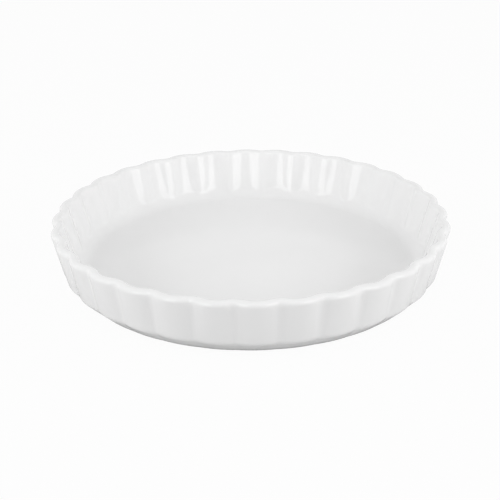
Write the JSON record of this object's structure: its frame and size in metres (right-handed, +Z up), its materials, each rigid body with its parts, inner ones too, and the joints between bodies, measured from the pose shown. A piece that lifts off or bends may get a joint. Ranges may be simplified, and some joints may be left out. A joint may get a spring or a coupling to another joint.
{
  "type": "quiche dish",
  "caption": "Round, shallow white porcelain baking dish with a flared, scalloped wall, thick rounded rim, flat floor and low unglazed foot ring, for quiches and tarts.",
  "frame": {"origin": "on the table, under the centre of the dish", "axes": "+Z up along the axis of the dish; lobes of the wall on +X, +Y, -X and -Y, with -Y towards the picture's camera"},
  "size_m": [0.27, 0.27, 0.04],
  "materials": {
    "porcelain": "bare fired porcelain, matt, polished smooth on the foot",
    "glaze": "glossy white glaze"
  },
  "bodies": {
    "root": {"foot_ring": "porcelain", "floor_disc": "porcelain", "fluted_wall": "porcelain", "glaze_coat": "glaze", "base_glaze": "glaze"}
  },
  "joints": []
}
